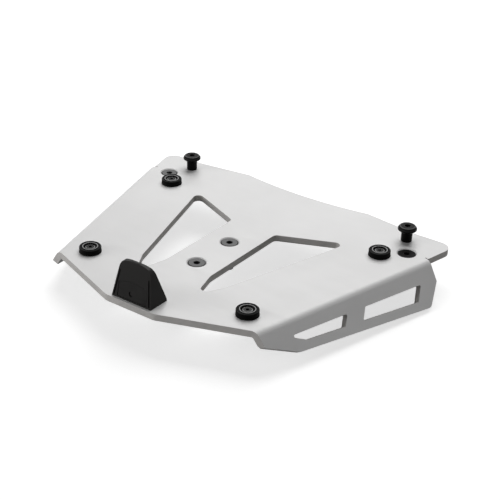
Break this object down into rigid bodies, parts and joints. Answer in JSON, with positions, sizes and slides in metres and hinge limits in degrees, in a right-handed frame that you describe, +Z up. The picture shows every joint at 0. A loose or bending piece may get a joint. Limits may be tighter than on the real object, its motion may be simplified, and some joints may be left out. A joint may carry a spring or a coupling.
{
  "type": "top case mount",
  "caption": "Folded sheet rack deck with splayed windowed flanges, rubber pads, mushroom pins, a rear latch block and flush mounting bolts, for a motorbike top case.",
  "frame": {"origin": "on the axis of the front centre bolt, at the lower face of its spacer, where the mount sits on the carrier frame", "axes": "+X to the right side, +Y forward, +Z up, square to the deck"},
  "size_m": [0.3424, 0.2598, 0.0683],
  "materials": {
    "sheet": "satin, glass bead blasted and clear anodised",
    "bolt_steel": "stainless, matt",
    "spacer": "turned",
    "rubber": "matt black",
    "black_screw": "black zinc",
    "zinc": "zinc plated",
    "pin_black": "satin black",
    "latch": "fine grained",
    "insert": "fine grained",
    "backing": "zinc plated"
  },
  "bodies": {
    "root": {"plate": "sheet", "centre_bolt_front": "bolt_steel", "centre_bolt_rear": "bolt_steel", "front_bolt_left": "bolt_steel", "front_bolt_right": "bolt_steel", "centre_spacer_front": "spacer", "centre_spacer_rear": "spacer", "front_spacer_left": "spacer", "front_spacer_right": "spacer", "pad_rear_left": "rubber", "pad_rear_right": "rubber", "pad_front_left": "rubber", "pad_front_right": "rubber", "pad_screw_rear_left": "black_screw", "pad_screw_rear_right": "black_screw", "pad_screw_front_left": "black_screw", "pad_screw_front_right": "black_screw", "pad_nut_rear_left": "zinc", "pad_nut_rear_right": "zinc", "pad_nut_front_left": "zinc", "pad_nut_front_right": "zinc", "pin_left": "pin_black", "pin_right": "pin_black", "pin_washer_left": "zinc", "pin_washer_right": "zinc", "pin_nut_left": "zinc", "pin_nut_right": "zinc", "latch_body": "latch", "latch_insert": "insert", "latch_backing": "backing", "latch_screw_left": "black_screw", "latch_screw_right": "black_screw"}
  },
  "joints": []
}
